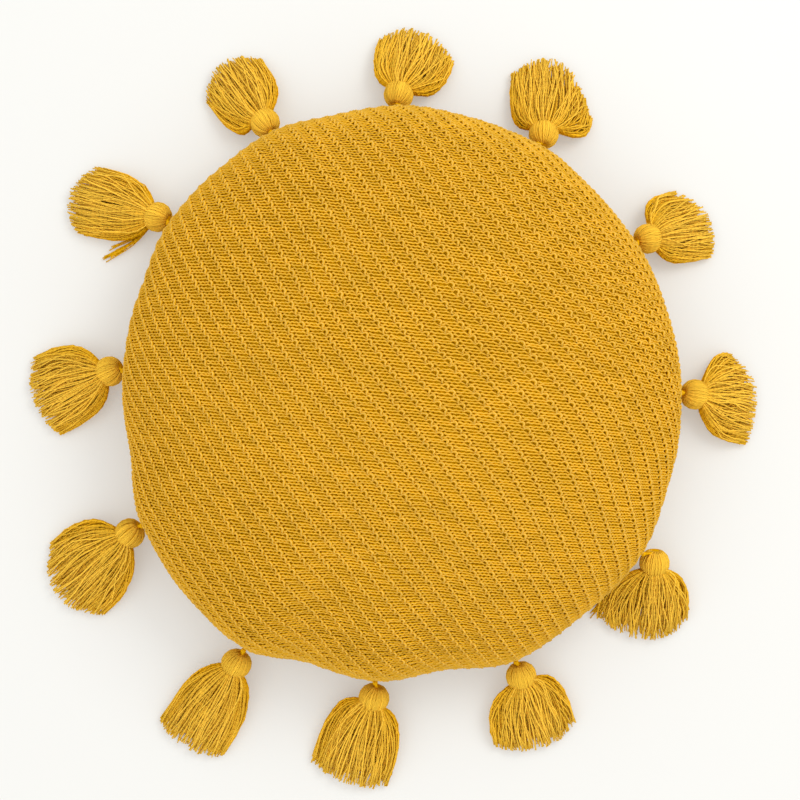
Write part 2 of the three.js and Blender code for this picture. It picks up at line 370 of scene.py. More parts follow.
class YarnMesh:
    """Gathers many yarns into one mesh with an unrolled map for baking and a ply map for the twist."""

    def __init__(self, columns, painted_shade_swing):
        self.columns, self.painted_shade_swing = columns, painted_shade_swing
        self.points, self.quads, self.tips = [], [], []
        self.bake, self.ply, self.tip_bake = [], [], []
        self.tone, self.depth = [], []
        self.count = 0
        self.yarns = 0

    def add(self, path, radius, up, sides, tone, depth, pitch):
        """One yarn as a closed tube: of three sides with a flat one up, or of more with an edge up."""
        stations = len(path)
        way = np.gradient(path, axis=0)
        way /= np.maximum(np.linalg.norm(way, axis=1, keepdims=True), 1e-12)
        up = np.broadcast_to(up, path.shape)
        across = np.cross(way, up)
        size = np.linalg.norm(across, axis=1, keepdims=True)
        across = np.where(size > 1e-4, across / np.maximum(size, 1e-9), np.cross(way, (0.36, 0.48, 0.8)))
        across /= np.maximum(np.linalg.norm(across, axis=1, keepdims=True), 1e-9)
        rise = np.cross(across, way)
        turn = np.arange(sides) * TAU / sides + TAU / 4 + (TAU / 6 if sides == 3 else 0)
        reach = np.broadcast_to(np.asarray(radius, float), (stations,))[:, None, None]
        ring = path[:, None] + reach * (np.cos(turn)[None, :, None] * across[:, None]
                                        + np.sin(turn)[None, :, None] * rise[:, None])
        self.points.append(ring.reshape(-1, 3))
        self.tone.append(np.repeat(np.broadcast_to(tone, (stations,)), sides))
        # Painted shade and highlight: the depth rises on the tube's top and falls on its underside, so the
        # material colours the top paler and the underside darker.
        lift = np.broadcast_to(depth, (stations,))[:, None] + self.painted_shade_swing * np.sin(turn)[None]
        self.depth.append(lift.ravel())
        here = np.arange(stations - 1)[:, None] * sides + self.count
        side = np.arange(sides)[None]
        after = (side + 1) % sides
        quad = np.stack([here + side, here + sides + side, here + sides + after, here + after], -1)
        self.quads.append(quad.reshape(-1, 4))
        length = np.concatenate([[0], np.cumsum(np.linalg.norm(np.diff(path, axis=0), axis=1))])
        share = length / max(length[-1], 1e-9)
        row, column = divmod(self.yarns, self.columns)
        share = (column + 0.96 * share) / self.columns
        self.bake.append(self.strip(share, sides, row, 0.92))
        self.ply.append(self.strip(length / pitch, sides, 0, 1.0))
        first = np.arange(sides) + self.count
        last = first[::-1] + (stations - 1) * sides
        self.tips.append(np.stack([first, last]))
        self.tip_bake.append(np.array([(share[0], row + 0.96), (share[-1], row + 0.96)]).repeat(sides, 0))
        self.count += stations * sides
        self.yarns += 1

    @staticmethod
    def strip(share, sides, row, height):
        """Map corners of one unrolled tube, in the order of its faces' corners."""
        stations = len(share)
        low, high = share[:-1, None], share[1:, None]
        one = row + np.arange(sides)[None] / sides * height
        two = row + (np.arange(sides)[None] + 1) / sides * height
        full = (stations - 1, sides)
        us = [np.broadcast_to(value, full) for value in (low, high, high, low)]
        vs = [np.broadcast_to(value, full) for value in (one, one, two, two)]
        return np.stack([np.stack(us, -1), np.stack(vs, -1)], -1).reshape(-1, 2)

    def build(self, name, material):
        """The joined mesh as an object of the scene."""
        points = np.concatenate(self.points)
        quads = np.concatenate(self.quads)
        tips = [tip for pair in self.tips for tip in pair]
        corners = np.concatenate([quads.ravel(), *tips]).astype(np.int32)
        sizes = np.array([4] * len(quads) + [len(tip) for tip in tips], np.int32)
        mesh = bpy.data.meshes.new(name)
        mesh.vertices.add(len(points))
        mesh.vertices.foreach_set("co", points.astype(np.float32).ravel())
        mesh.loops.add(len(corners))
        mesh.loops.foreach_set("vertex_index", corners)
        mesh.polygons.add(len(sizes))
        mesh.polygons.foreach_set("loop_start", (np.cumsum(sizes) - sizes).astype(np.int32))
        mesh.polygons.foreach_set("loop_total", sizes)
        mesh.update(calc_edges=True)
        bake = np.concatenate(self.bake + self.tip_bake)
        bake = np.stack([bake[:, 0], bake[:, 1] / math.ceil(self.yarns / self.columns)], 1)
        ply = np.concatenate(self.ply + [np.zeros((len(corners) - quads.size, 2))])
        for layer, values in (("OFBake", bake), ("ply", ply)):
            mesh.uv_layers.new(name=layer).data.foreach_set("uv", values.astype(np.float32).ravel())
        for layer, values in (("tone", self.tone), ("depth", self.depth)):
            spread = mesh.attributes.new(layer, "FLOAT", "POINT")
            spread.data.foreach_set("value", np.concatenate(values).astype(np.float32))
        mesh.shade_smooth()
        mesh.materials.append(material)
        return place(bpy.data.objects.new(name, mesh))


def place(piece):
    """Puts a finished piece in the scene, where it rides on the only body."""
    bpy.context.scene.collection.objects.link(piece)
    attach(piece, BODY)
    return piece


def node(tree, kind, **values):
    """A node with its settings and its plain inputs set."""
    made = tree.nodes.new(kind)
    for key, value in values.items():
        if key in made.inputs:
            made.inputs[key].default_value = value
        else:
            setattr(made, key, value)
    return made


def sums(tree, operation, one, two):
    """A Math node on two values, each a socket or a number."""
    made = node(tree, "ShaderNodeMath", operation=operation)
    for index, value in enumerate((one, two)):
        if isinstance(value, (int, float)):
            made.inputs[index].default_value = value
        else:
            tree.links.new(value, made.inputs[index])
    return made.outputs[0]


def raised(tree, value, gain, base):
    """A value times a gain, on top of a base."""
    return sums(tree, "ADD", base, sums(tree, "MULTIPLY", value, gain))


def blend_colours(tree, mode, share, one, two):
    """A Mix node on two colours, each a socket or a value."""
    made = node(tree, "ShaderNodeMix", data_type="RGBA", blend_type=mode)
    for index, value in ((0, share), (6, one), (7, two)):
        if isinstance(value, bpy.types.NodeSocket):
            tree.links.new(value, made.inputs[index])
        else:
            made.inputs[index].default_value = value
    return made.outputs[2]


def yarn_finish():
    """The shared look of spun yarn: twisted plies, loose fibre and uneven dye, with painted shade and painted
    highlight from the depth attribute: the shade colour where the yarn lies deep or turns away, the paler
    yarn colour on its crests.
    """
    if "yarn_finish" in bpy.data.node_groups:
        return bpy.data.node_groups["yarn_finish"]
    tree = bpy.data.node_groups.new("yarn_finish", "ShaderNodeTree")
    colour, value = "NodeSocketColor", "NodeSocketFloat"
    for name, kind in (("Yarn", colour), ("Shade", colour), ("Plies", value), ("Unevenness", value),
                       ("Depth Start", value), ("Depth End", value)):
        tree.interface.new_socket(name, in_out="INPUT", socket_type=kind)
    for name, kind in (("Colour", colour), ("Height", value), ("Roughness", value)):
        tree.interface.new_socket(name, in_out="OUTPUT", socket_type=kind)
    given = node(tree, "NodeGroupInput").outputs
    result = node(tree, "NodeGroupOutput").inputs
    link = tree.links.new
    ply = node(tree, "ShaderNodeUVMap", uv_map="ply")
    parts = node(tree, "ShaderNodeSeparateXYZ")
    link(ply.outputs[0], parts.inputs[0])
    turns = sums(tree, "ADD", parts.outputs[0], sums(tree, "MULTIPLY", parts.outputs[1], given["Plies"]))
    wave = sums(tree, "SINE", sums(tree, "MULTIPLY", turns, TAU), 0)
    crest = raised(tree, wave, 0.5, 0.5)
    spot = node(tree, "ShaderNodeTexCoord")
    fibre = node(tree, "ShaderNodeTexNoise", Scale=1700.0, Detail=2.0, Roughness=0.6)
    link(spot.outputs["Object"], fibre.inputs["Vector"])
    dye = node(tree, "ShaderNodeTexNoise", Scale=75.0, Detail=3.0, Roughness=0.55)
    link(spot.outputs["Object"], dye.inputs["Vector"])
    tone = node(tree, "ShaderNodeAttribute", attribute_name="tone")
    depth = node(tree, "ShaderNodeAttribute", attribute_name="depth")
    # Painted shade and highlight: deep yarn and the tube's sides and underside take the shade colour, the
    # crests the paler yarn colour.
    painted_shade_span = node(tree, "ShaderNodeMapRange", interpolation_type="SMOOTHSTEP")
    link(depth.outputs["Fac"], painted_shade_span.inputs["Value"])
    link(given["Depth Start"], painted_shade_span.inputs["From Min"])
    link(given["Depth End"], painted_shade_span.inputs["From Max"])
    base = blend_colours(tree, "MIX", painted_shade_span.outputs[0], given["Shade"], given["Yarn"])
    drift = sums(tree, "SUBTRACT", sums(tree, "ADD", tone.outputs["Fac"], dye.outputs[0]), 1.0)
    bright = raised(tree, drift, given["Unevenness"], 1.0)
    # Painted shade in the grooves between the plies: the colour is darker there, besides the bump.
    ply_groove_shade = raised(tree, crest, 0.16, 0.88)
    speck = raised(tree, fibre.outputs[0], 0.2, 0.90)
    level = sums(tree, "MULTIPLY", sums(tree, "MULTIPLY", bright, ply_groove_shade), speck)
    grey = node(tree, "ShaderNodeCombineColor")
    for index in range(3):
        link(level, grey.inputs[index])
    link(blend_colours(tree, "MULTIPLY", 1.0, base, grey.outputs[0]), result["Colour"])
    link(raised(tree, fibre.outputs[0], 0.5, sums(tree, "MULTIPLY", crest, 0.7)), result["Height"])
    link(raised(tree, fibre.outputs[0], 0.18, 0.80), result["Roughness"])
    return tree


def yarn_material(name, yarn, shade, unevenness_share, start, end):
    """A matt yarn without reflections, whose soft look of loose fibre comes from a painted highlight: the
    paler yarn colour on its crests.
    """
    material = bpy.data.materials.new(name)
    material.use_nodes = True
    tree = material.node_tree
    shader = tree.nodes["Principled BSDF"]
    finish = node(tree, "ShaderNodeGroup", node_tree=yarn_finish())
    for key, value in (("Yarn", (*yarn, 1)), ("Shade", (*shade, 1)), ("Plies", 2.0),
                       ("Unevenness", unevenness_share), ("Depth Start", start), ("Depth End", end)):
        finish.inputs[key].default_value = value
    tree.links.new(finish.outputs["Colour"], shader.inputs["Base Color"])
    tree.links.new(finish.outputs["Roughness"], shader.inputs["Roughness"])
    bump = node(tree, "ShaderNodeBump", Strength=0.5, Distance=0.0003)
    tree.links.new(finish.outputs["Height"], bump.inputs["Height"])
    tree.links.new(bump.outputs[0], shader.inputs["Normal"])
    shader.inputs["Specular IOR Level"].default_value = 0.0
    return material


def lining_material(colours, knit):
    """The cover as it shows between the yarns, and as flat knitting under the floor patch, in the painted
    shade colour and darker still as painted shade in its knit pattern's hollows.
    """
    material = bpy.data.materials.new("cover_lining")
    material.use_nodes = True
    tree = material.node_tree
    link = tree.links.new
    shader = tree.nodes["Principled BSDF"]
    spot = node(tree, "ShaderNodeTexCoord")
    turned = node(tree, "ShaderNodeMapping")
    turned.inputs["Rotation"].default_value = (0, 0, -knit.row_tilt)
    link(spot.outputs["Object"], turned.inputs["Vector"])
    parts = node(tree, "ShaderNodeSeparateXYZ")
    link(turned.outputs[0], parts.inputs[0])
    stitch = sums(tree, "MULTIPLY", parts.outputs[0], TAU / knit.stitch_width)
    row = sums(tree, "MULTIPLY", parts.outputs[1], TAU / knit.row_height)
    bars = sums(tree, "SINE", sums(tree, "MULTIPLY", row, 2.0), 0)
    loops = sums(tree, "MULTIPLY", sums(tree, "SINE", stitch, 0), sums(tree, "SINE", row, 0))
    rib = sums(tree, "SINE", sums(tree, "MULTIPLY", sums(tree, "ADD", stitch, row), 1.0 / PATTERN_REPEAT), 0)
    height = sums(tree, "ADD", sums(tree, "ADD", bars, loops), rib)
    share = node(tree, "ShaderNodeMapRange")
    share.inputs["From Min"].default_value = -2.0
    share.inputs["From Max"].default_value = 2.0
    link(height, share.inputs["Value"])
    # Painted shade: the lining takes the yarn's shade colour, and a darker one in the low parts of its
    # pattern.
    shade = (*colours.cover_painted_shade, 1)
    deep = (*[value * 0.9 for value in colours.cover_painted_shade], 1)
    link(blend_colours(tree, "MIX", share.outputs[0], deep, shade), shader.inputs["Base Color"])
    bump = node(tree, "ShaderNodeBump", Strength=0.8, Distance=0.0008)
    link(share.outputs[0], bump.inputs["Height"])
    link(bump.outputs[0], shader.inputs["Normal"])
    shader.inputs["Roughness"].default_value = 0.92
    shader.inputs["Specular IOR Level"].default_value = 0.1
    return material


def knit_row(knit, row, first, last, rng):
    """Every unit of one row in stitches and rows, and how far its yarn stands out from the cover's middle."""
    points = len(UNIT)
    units = last - first
    keys = np.linspace(0, points - 1, DRIFT_KEYS)
    drift = np.array([np.interp(np.arange(points), keys, key) for key in np.eye(DRIFT_KEYS)])
    loose = rng.normal(0, knit.looseness, (2, units, DRIFT_KEYS)) @ drift
    loose += rng.normal(0, knit.looseness * POINT_LOOSENESS, loose.shape)
    start = PATTERN_REPEAT * np.arange(first, last)[:, None] - row
    stitches = start + UNIT[:, 0] + loose[0] + rng.normal(0, knit.looseness, (units, 1))
    lines = row + UNIT[:, 1] * rng.uniform(*UNIT_HEIGHTS, (units, 1)) + ACROSS_LOOSENESS * loose[1]
    lift = UNIT[:, 2] * MM + knit.rib_depth * np.cos(TAU * (UNIT[:, 0] - RIB_CREST) / PATTERN_REPEAT)
    return stitches, lines, lift


def stretched(knit, row, stitches, lines):
    """Flat places of a row's stitches on the cover, wider where it is stretched, turned by the rows' tilt."""
    growth = GROWTH_ROWS * knit.row_growth * np.log(np.cosh(lines / GROWTH_ROWS))
    across = knit.row_height * (lines + growth)
    height = knit.row_height * row
    away = ((RULER - knit.stretch_at[0]) ** 2 + (height - knit.stretch_at[1]) ** 2) / knit.stretch_reach ** 2
    width = knit.stitch_width + knit.stretch * np.exp(-away)
    count = np.concatenate([[0], np.cumsum(np.diff(RULER) * 0.5 * (1 / width[1:] + 1 / width[:-1]))])
    along = np.interp(stitches, count - np.interp(0.0, RULER, count), RULER)
    cos, sin = math.cos(knit.row_tilt), math.sin(knit.row_tilt)
    return along * cos - across * sin, along * sin + across * cos


def runs(inside):
    """Start and end of each unbroken stretch of places that lie on a panel."""
    edges = np.flatnonzero(np.diff(np.concatenate([[0], inside.astype(int), [0]])))
    return zip(edges[::2], edges[1::2])


def knit_panel(panel, knit, sizes, inner, level, seed):
    """Every unit of one panel: path, radius, outward direction, tone and depth."""
    rng = np.random.default_rng(seed)
    rows = int(panel.reach / knit.row_height / 0.9) + 2
    reach = int(panel.reach / knit.stitch_width / PATTERN_REPEAT) + 3
    for row in range(-rows, rows + 1):
        first, last = -reach + row // PATTERN_REPEAT, reach + row // PATTERN_REPEAT
        stitches, lines, lift = knit_row(knit, row, first, last, rng)
        along, across = stretched(knit, row, stitches, lines)
        way = np.hypot(along, across)
        inside = (way <= panel.reach) & (way >= inner)
        tones = rng.uniform(0, 1, len(inside))
        for unit in np.flatnonzero(inside.sum(1) > 3):
            for start, end in runs(inside[unit]):
                if end - start < 4:
                    continue
                part = slice(start, end)
                one, two = along[unit, part], across[unit, part]
                out = panel.normal(one, two)
                tuck = np.zeros(end - start)
                if end - start < len(lift):
                    ends = np.minimum(np.arange(end - start), np.arange(end - start)[::-1])
                    tuck = END_TUCK * np.clip(1 - ends / 2, 0, 1)
                edge = smooth(np.clip((way[unit, part] / panel.reach - RIM_FADE[0]) / RIM_FADE[1], 0, 1))
                relief = lift[part] * (1 - RIM_FLATTENING * edge)
                stand = level + relief - tuck + unevenness(one, two, sizes.softness)
                path = panel.at(one, two) + out * stand[:, None]
                thick = knit.yarn_radius * UNIT[part, 3] * rng.uniform(*YARN_THICKNESSES)
                # The last value is the depth for the painted shade: yarn lying lower in the relief is
                # coloured darker.
                yield path, thick, out, tones[unit], (lift[part] + PAINTED_SHADE_SPAN) / (2 * PAINTED_SHADE_SPAN)


def face_rank(face, count):
    """A number from a face's points that puts the faces in the same order each run."""
    one, two, three = sorted(vert.index for vert in face.verts)[:3]
    return (one * count + two) * count + three


class CUSHION_OT_fill_body(bpy.types.Operator):
    """Makes the filled body that shows between the yarns"""

    bl_idname = "cushion.fill_body"
    bl_label = "Fill Body"

    def execute(self, context):
        sizes, knit = context.scene.cushion_sizes, context.scene.cushion_knit
        inset = sizes.lining_inset
        face, base = face_section(sizes)[::5], base_section(sizes)[::6]
        section = np.concatenate([face, base[::-1]])
        keep = np.concatenate([[True], np.linalg.norm(np.diff(section, axis=0), axis=1) > 1e-6])
        section = section[keep]
        way = np.gradient(section, axis=0)
        out = np.stack([-way[:, 1], way[:, 0]], 1)
        out /= np.linalg.norm(out, axis=1, keepdims=True)
        resting = np.clip((REST_HEIGHT - section[:, 1]) / REST_HEIGHT, 0, 1)
        section = section - np.abs(mix(inset, inset * REST_INSET, resting))[:, None] * out
        section[:, 0] = np.maximum(section[:, 0], 0)
        section[0, 0] = section[-1, 0] = 0
        shape = bmesh.new()
        line = [shape.verts.new((radius, 0, height)) for radius, height in section]
        edges = [shape.edges.new(pair) for pair in zip(line, line[1:])]
        bmesh.ops.spin(shape, geom=line + edges, cent=(0, 0, 0), axis=(0, 0, 1), angle=TAU,
                       steps=BODY_STEPS, use_merge=True)
        bmesh.ops.remove_doubles(shape, verts=shape.verts, dist=1e-6)
        for vert in shape.verts:
            angle = math.atan2(vert.co.y, vert.co.x)
            away = max(math.hypot(vert.co.x, vert.co.y), 1e-9)
            share = float(drawn(away, angle, sizes.body_radius)) / away
            swell = float(unevenness(vert.co.x * 1.1, vert.co.y * 1.1, sizes.softness))
            top = vert.co.z > sizes.rim_height
            vert.co = (vert.co.x * share, vert.co.y * share, vert.co.z + (swell if top else 0))
        bmesh.ops.recalc_face_normals(shape, faces=shape.faces)
        shape.verts.index_update()
        count = len(shape.verts)
        shape.faces.sort(key=lambda face: face_rank(face, count))
        chart = shape.loops.layers.uv.new("OFBake")
        for face in shape.faces:
            face.smooth = True
            middle = 0.25 if face.calc_center_median().z > sizes.rim_height else 0.75
            for corner in face.loops:
                spot = corner.vert.co
                corner[chart].uv = (middle + spot.x / CHART_SPAN, 0.5 + spot.y / CHART_SPAN)
        mesh = bpy.data.meshes.new("filled_cushion")
        shape.to_mesh(mesh)
        shape.free()
        mesh.materials.append(lining_material(context.scene.cushion_colours, knit))
        body = place(bpy.data.objects.new("filled_cushion", mesh))
        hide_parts("cushion")
        return {"FINISHED"}


def cover_material(colours):
    """The cover's yarn, made once for both panels."""
    if "cover_yarn" in bpy.data.materials:
        return bpy.data.materials["cover_yarn"]
    # From depth 0.62 the colour turns from the painted shade to the paler painted highlight at 1.04.
    return yarn_material("cover_yarn", colours.cover, colours.cover_painted_shade,
                         unevenness_share=0.12, start=0.62, end=1.04)


class CUSHION_OT_knit_front(bpy.types.Operator):
    """Knits the front panel, yarn by yarn, in a few meshes"""

    bl_idname = "cushion.knit_front"
    bl_label = "Knit Front"

    def execute(self, context):
        sizes, knit = context.scene.cushion_sizes, context.scene.cushion_knit
        material = cover_material(context.scene.cushion_colours)
        panel = Panel(face_section(sizes), sizes.body_radius, 1)
        yarns = list(knit_panel(panel, knit, sizes, inner=0.0, level=FRONT_LEVEL, seed=11))
        total = sum(len(yarn[0]) for yarn in yarns)
        if total == 0:
            raise RuntimeError("The front panel has no rows")
        parts = [YarnMesh(columns=10, painted_shade_swing=0.45) for _ in range(knit.face_parts)]
        done = 0
        for path, thick, out, tone, depth in yarns:
            part = parts[min(done * knit.face_parts // total, knit.face_parts - 1)]
            part.add(path, thick, out, 4, tone, depth, COVER_PITCH)
            done += len(path)
        for index, part in enumerate(parts):
            part.build(f"front_knit_{index + 1}", material)
        return {"FINISHED"}


class CUSHION_OT_knit_back(bpy.types.Operator):
    """Knits the back panel from the seam down to where it lies on the floor"""

    bl_idname = "cushion.knit_back"
    bl_label = "Knit Back"

    def execute(self, context):
        sizes, knit = context.scene.cushion_sizes, context.scene.cushion_knit
        material = cover_material(context.scene.cushion_colours)
        panel = Panel(base_section(sizes), sizes.body_radius, -1)
        back = YarnMesh(columns=10, painted_shade_swing=0.45)
        yarns = knit_panel(panel, knit, sizes, inner=knit.back_inner, level=BACK_LEVEL, seed=23)
        for path, thick, out, tone, depth in yarns:
            path[:, 2] = np.maximum(path[:, 2], 1.1 * knit.yarn_radius)
            back.add(path, thick, out, 4, tone, depth, COVER_PITCH)
        back.build("back_knit", material)
        return {"FINISHED"}


def bent(first, middle, last, way):
    """A curve from first to last that is drawn towards middle."""
    return first * (1 - way) ** 2 + 2 * middle * way * (1 - way) + last * way ** 2


def ripple(scale, sizes, turns, way, rng):
    """A wave along a strand with a random size, length and start."""
    return scale * rng.uniform(*sizes) * np.sin(way * rng.uniform(*turns) + rng.uniform(0, TAU))


class TasselFrame:
    """One tassel's own axes, with its head over the origin and its skirt to the right, and their place."""

    def __init__(self, row, sizes):
        at, rim, _, aim, length, *self.sides = row
        self.at, self.aim = math.radians(at), math.radians(aim)
        self.rim, self.length = rim * MM, length * MM
        foot = self.rim + HEAD_STAND
        self.foot = np.array((foot * math.cos(self.at), foot * math.sin(self.at), 0))
        self.centre = np.array((0, 0, sizes.head_height))
        self.axis = np.array((math.cos(sizes.head_dip), 0, -math.sin(sizes.head_dip)))
        self.beside = np.array((0, 1.0, 0))
        self.above = np.cross(self.axis, self.beside)

    def round_axis(self, along, radius, angle):
        """Points round the head's axis."""
        along, radius, angle = np.broadcast_arrays(along, radius, angle)
        return (self.centre + along[..., None] * self.axis
                + (radius * np.cos(angle))[..., None] * self.beside
                + (radius * np.sin(angle))[..., None] * self.above)

    def world(self, points):
        """Own axes to the cushion's."""
        cos, sin = math.cos(self.aim), math.sin(self.aim)
        turned = np.stack([points[..., 0] * cos - points[..., 1] * sin,
                           points[..., 0] * sin + points[..., 1] * cos, points[..., 2]], -1)
        return turned + self.foot

    def local(self, point):
        """A point of the cushion's axes in the tassel's own."""
        x, y, z = point - self.foot
        cos, sin = math.cos(self.aim), math.sin(self.aim)
        return np.array((x * cos + y * sin, -x * sin + y * cos, z))

    def strand(self, side, level, way, reach_share):
        """The middle of a cut strand: side from -1 to 1, level from the floor up, way from root to tip."""
        half, corner, beside = (np.where(side > 0, left, right) for left, right in zip(*self.sides))
        wide = np.abs(side)
        root = (ROOT_OUT * MM, (ROOT_SPREAD + ROOT_GROWTH * beside) * MM * side,
                (ROOT_HEIGHT + ROOT_ROUNDING * (2 * level - 1)) * MM)
        tip = (self.length * mix(1.0, corner, wide ** CORNER_EASE) * reach_share, half * MM * side,
               (TIP_HEIGHT + TIP_RISE * level) * MM)
        bend = (mix(BEND_MIDDLE * self.length, (BEND_SIDE - beside) * MM, wide ** 2), BEND_WIDTH * tip[1],
                mix(*BEND_HEIGHTS, level) * MM)
        line = [bent(*three, way) for three in zip(root, bend, tip)]
        return np.stack(np.broadcast_arrays(*line), -1)


def make_head(yarn, holder, sizes, rng):
    """Yarns folded over the head, the binding at its neck, and the tie and knot that sew it to the seam."""
    bulge = np.linspace(0.06, 0.94, 8) * math.pi
    along = -HEAD_HALF * np.cos(bulge)
    radius = (sizes.head_radius - HEAD_YARN * 0.8) * np.sin(bulge) ** 0.80
    core = holder.round_axis(along, 0.0, 0.0)
    # An inner core under the folded yarns; its low depth gives it the painted shade colour, so the gaps
    # between them read as shaded yarn.
    yarn.add(holder.world(core), radius - 0.3 * MM, UPWARD, sides=12, tone=0.5, depth=0.40, pitch=HEAD_PITCH)
    for index in range(sizes.head_yarns):
        angle = TAU * (index + rng.normal(0, 0.12)) / sizes.head_yarns
        lean = rng.normal(0, 0.05) * np.cos(bulge)
        wide = radius + rng.normal(0, 0.10 * MM)
        path = holder.round_axis(along, wide, angle + lean)
        out = holder.world(path - core) - holder.foot
        size = HEAD_YARN * (0.55 + 0.45 * np.sin(bulge))
        yarn.add(holder.world(path), size, out, sides=3, tone=rng.uniform(), depth=0.84, pitch=HEAD_PITCH)
    # The binding, tie and knot lie low in depth and take the painted shade colour; the folded yarns at 0.84
    # are paler.
    turn = np.linspace(0, 3.4 * TAU, 44)
    binding = holder.round_axis(np.linspace(8.9, 10.9, 44) * MM, 6.1 * MM, turn)
    yarn.add(holder.world(binding), 0.75 * MM, UPWARD, sides=4, tone=0.4, depth=0.5, pitch=HEAD_PITCH)
    seam = holder.rim + 0.8 * MM
    knot = holder.local(np.array((seam * math.cos(holder.at), seam * math.sin(holder.at), SEAM_HEIGHT)))
    start = holder.centre - holder.axis * 7.5 * MM
    share = np.linspace(0, 1, 9)[:, None]
    for phase in (0.0, math.pi):
        twist = share * 2.2 * TAU + phase
        wind = 0.75 * MM * np.concatenate([0 * share, np.cos(twist), np.sin(twist)], 1)
        tie = mix(start, knot, share) + wind
        yarn.add(holder.world(tie), 0.8 * MM, UPWARD, sides=4, tone=0.45, depth=0.45, pitch=HEAD_PITCH)
    for tilt, phase in ((0.3, 0.0), (1.25, 0.8), (2.2, 1.9)):
        turn = np.linspace(0, TAU * 1.04, 15) + phase
        ring = np.stack([np.cos(turn), np.sin(turn) * math.cos(tilt), np.sin(turn) * math.sin(tilt)], 1)
        loop = holder.world(knot + 1.2 * MM * ring)
        yarn.add(loop, 0.75 * MM, UPWARD, sides=4, tone=0.5, depth=0.5, pitch=HEAD_PITCH)


def make_skirt(yarn, holder, sizes, rng):
    """The cut strands, gathered in loose locks, and stray threads over them."""
    way = np.linspace(0, 1, STRAND_POINTS)
    taper = np.interp(way, (0, 0.15, 0.85, 1), (0.8, 1, 1, 1.15))
    lowest = FLOOR_SHARE * sizes.strand_radius
    count = sizes.strands
    locks = np.linspace(-1, 1, LOCKS) + rng.normal(0, 0.05, LOCKS)
    sides = 1.02 * np.sin(np.linspace(-1.35, 1.35, count)) + rng.normal(0, 0.05, count)
    levels = rng.permutation(np.linspace(0.02, 1.0, count)) ** 0.5
    for side, level in zip(sides, levels):
        level = level * math.sqrt(max(0.0, 1 - 0.72 * min(abs(side), 1.0) ** 2.5))
        lock = locks[np.argmin(np.abs(locks - side))]
        sway = rng.normal(0, STRAND_SWAY)
        sway = sway + STRAND_WAVE * np.sin(way * rng.uniform(3, 6) + rng.uniform(0, TAU))
        course = mix(side, lock, LOCK_PULL * way) + sway * way
        path = holder.strand(np.clip(course, -1.0, 1.0), level, way, rng.uniform(*STRAND_REACH))
        loose = way ** 0.6 * MM
        path[:, 1] += ripple(loose, (0.3, 1.5), (4, 9), way, rng)
        path[:, 1] += ripple(loose, (0.2, 0.7), (10, 15), way, rng)
        path[:, 2] += ripple(loose, (0.2, 0.9), (6, 15), way, rng)
        path[:, 2] = np.maximum(path[:, 2], lowest)
        size = sizes.strand_radius * rng.uniform(0.7, 1.3) * taper
        # Painted shade: low strands and their roots by the head take the shade colour, the top strands
        # towards their tips the paler yarn colour as a painted highlight.
        depth = 0.25 + 0.55 * level + 0.2 * way
        yarn.add(holder.world(path), size, UPWARD, 3, rng.uniform(), depth, STRAND_PITCH)
    for _ in range(sizes.stray_threads):
        side = rng.uniform(-0.95, 0.95)
        drift = rng.normal(0, 0.22)
        wander = side + drift * way ** 1.6 + 0.08 * np.sin(way * rng.uniform(4, 9))
        path = holder.strand(np.clip(wander, -0.95, 0.95), 1.0, way, rng.uniform(0.85, 1.05))
        path[:, 2] += 1.2 * MM * np.sin(way * math.pi)
        path[:, 2] = np.maximum(path[:, 2], lowest)
        size = 0.72 * sizes.strand_radius
        # Stray threads lie on top and take the paler colour of the painted highlight.
        yarn.add(holder.world(path), size, UPWARD, sides=3, tone=0.95, depth=0.95, pitch=STRAND_PITCH)


def make_loose_lock(yarn, holder, sizes, tip, rng):
    """A lock that has come away from the skirt and lies on the floor beside it."""
    way = np.linspace(0, 1, STRAND_POINTS)
    for _ in range(22):
        end = np.array(tip) * MM * rng.uniform(0.82, 1.0) + rng.normal(0, 2.0 * MM, 2)
        bend = np.array((8.0 * MM, 0.45 * end[1]))
        start = np.array((ROOT_OUT * MM, math.copysign(6.0 * MM, end[1])))
        line = [bent(*three, way) for three in zip(start, bend, end)]
        rise = mix(rng.uniform(9, 13), rng.uniform(0.8, 3.5), np.clip(way / 0.6, 0, 1)) * MM
        path = np.stack([*line, rise], -1)
        path[:, 0] += 0.6 * MM * way * np.sin(way * rng.uniform(6, 14) + rng.uniform(0, TAU))
        # Its depth of 0.55 gives it the painted shade colour.
        yarn.add(holder.world(path), sizes.strand_radius, UPWARD, 3, rng.uniform(), 0.55, STRAND_PITCH)


def make_lining(yarn, holder, rng):
    """Flat inner locks that close the skirt where the strands part."""
    way = np.linspace(0.02, 0.9, STRAND_POINTS)
    size = np.interp(way, (0, 0.5, 1), (1.4, 2.3, 2.2)) * MM
    for side in np.linspace(-0.9, 0.9, 13):
        level = 0.42 * (1 - 0.7 * side * side)
        path = holder.strand(side, level, way, reach_share=0.97)
        path[:, 2] = np.maximum(path[:, 2], 2.4 * MM)
        # Their depth of 0.90 mixes the painted shade colour with the yarn colour.
        yarn.add(holder.world(path), size, UPWARD, 4, rng.uniform(), 0.90, STRAND_PITCH)


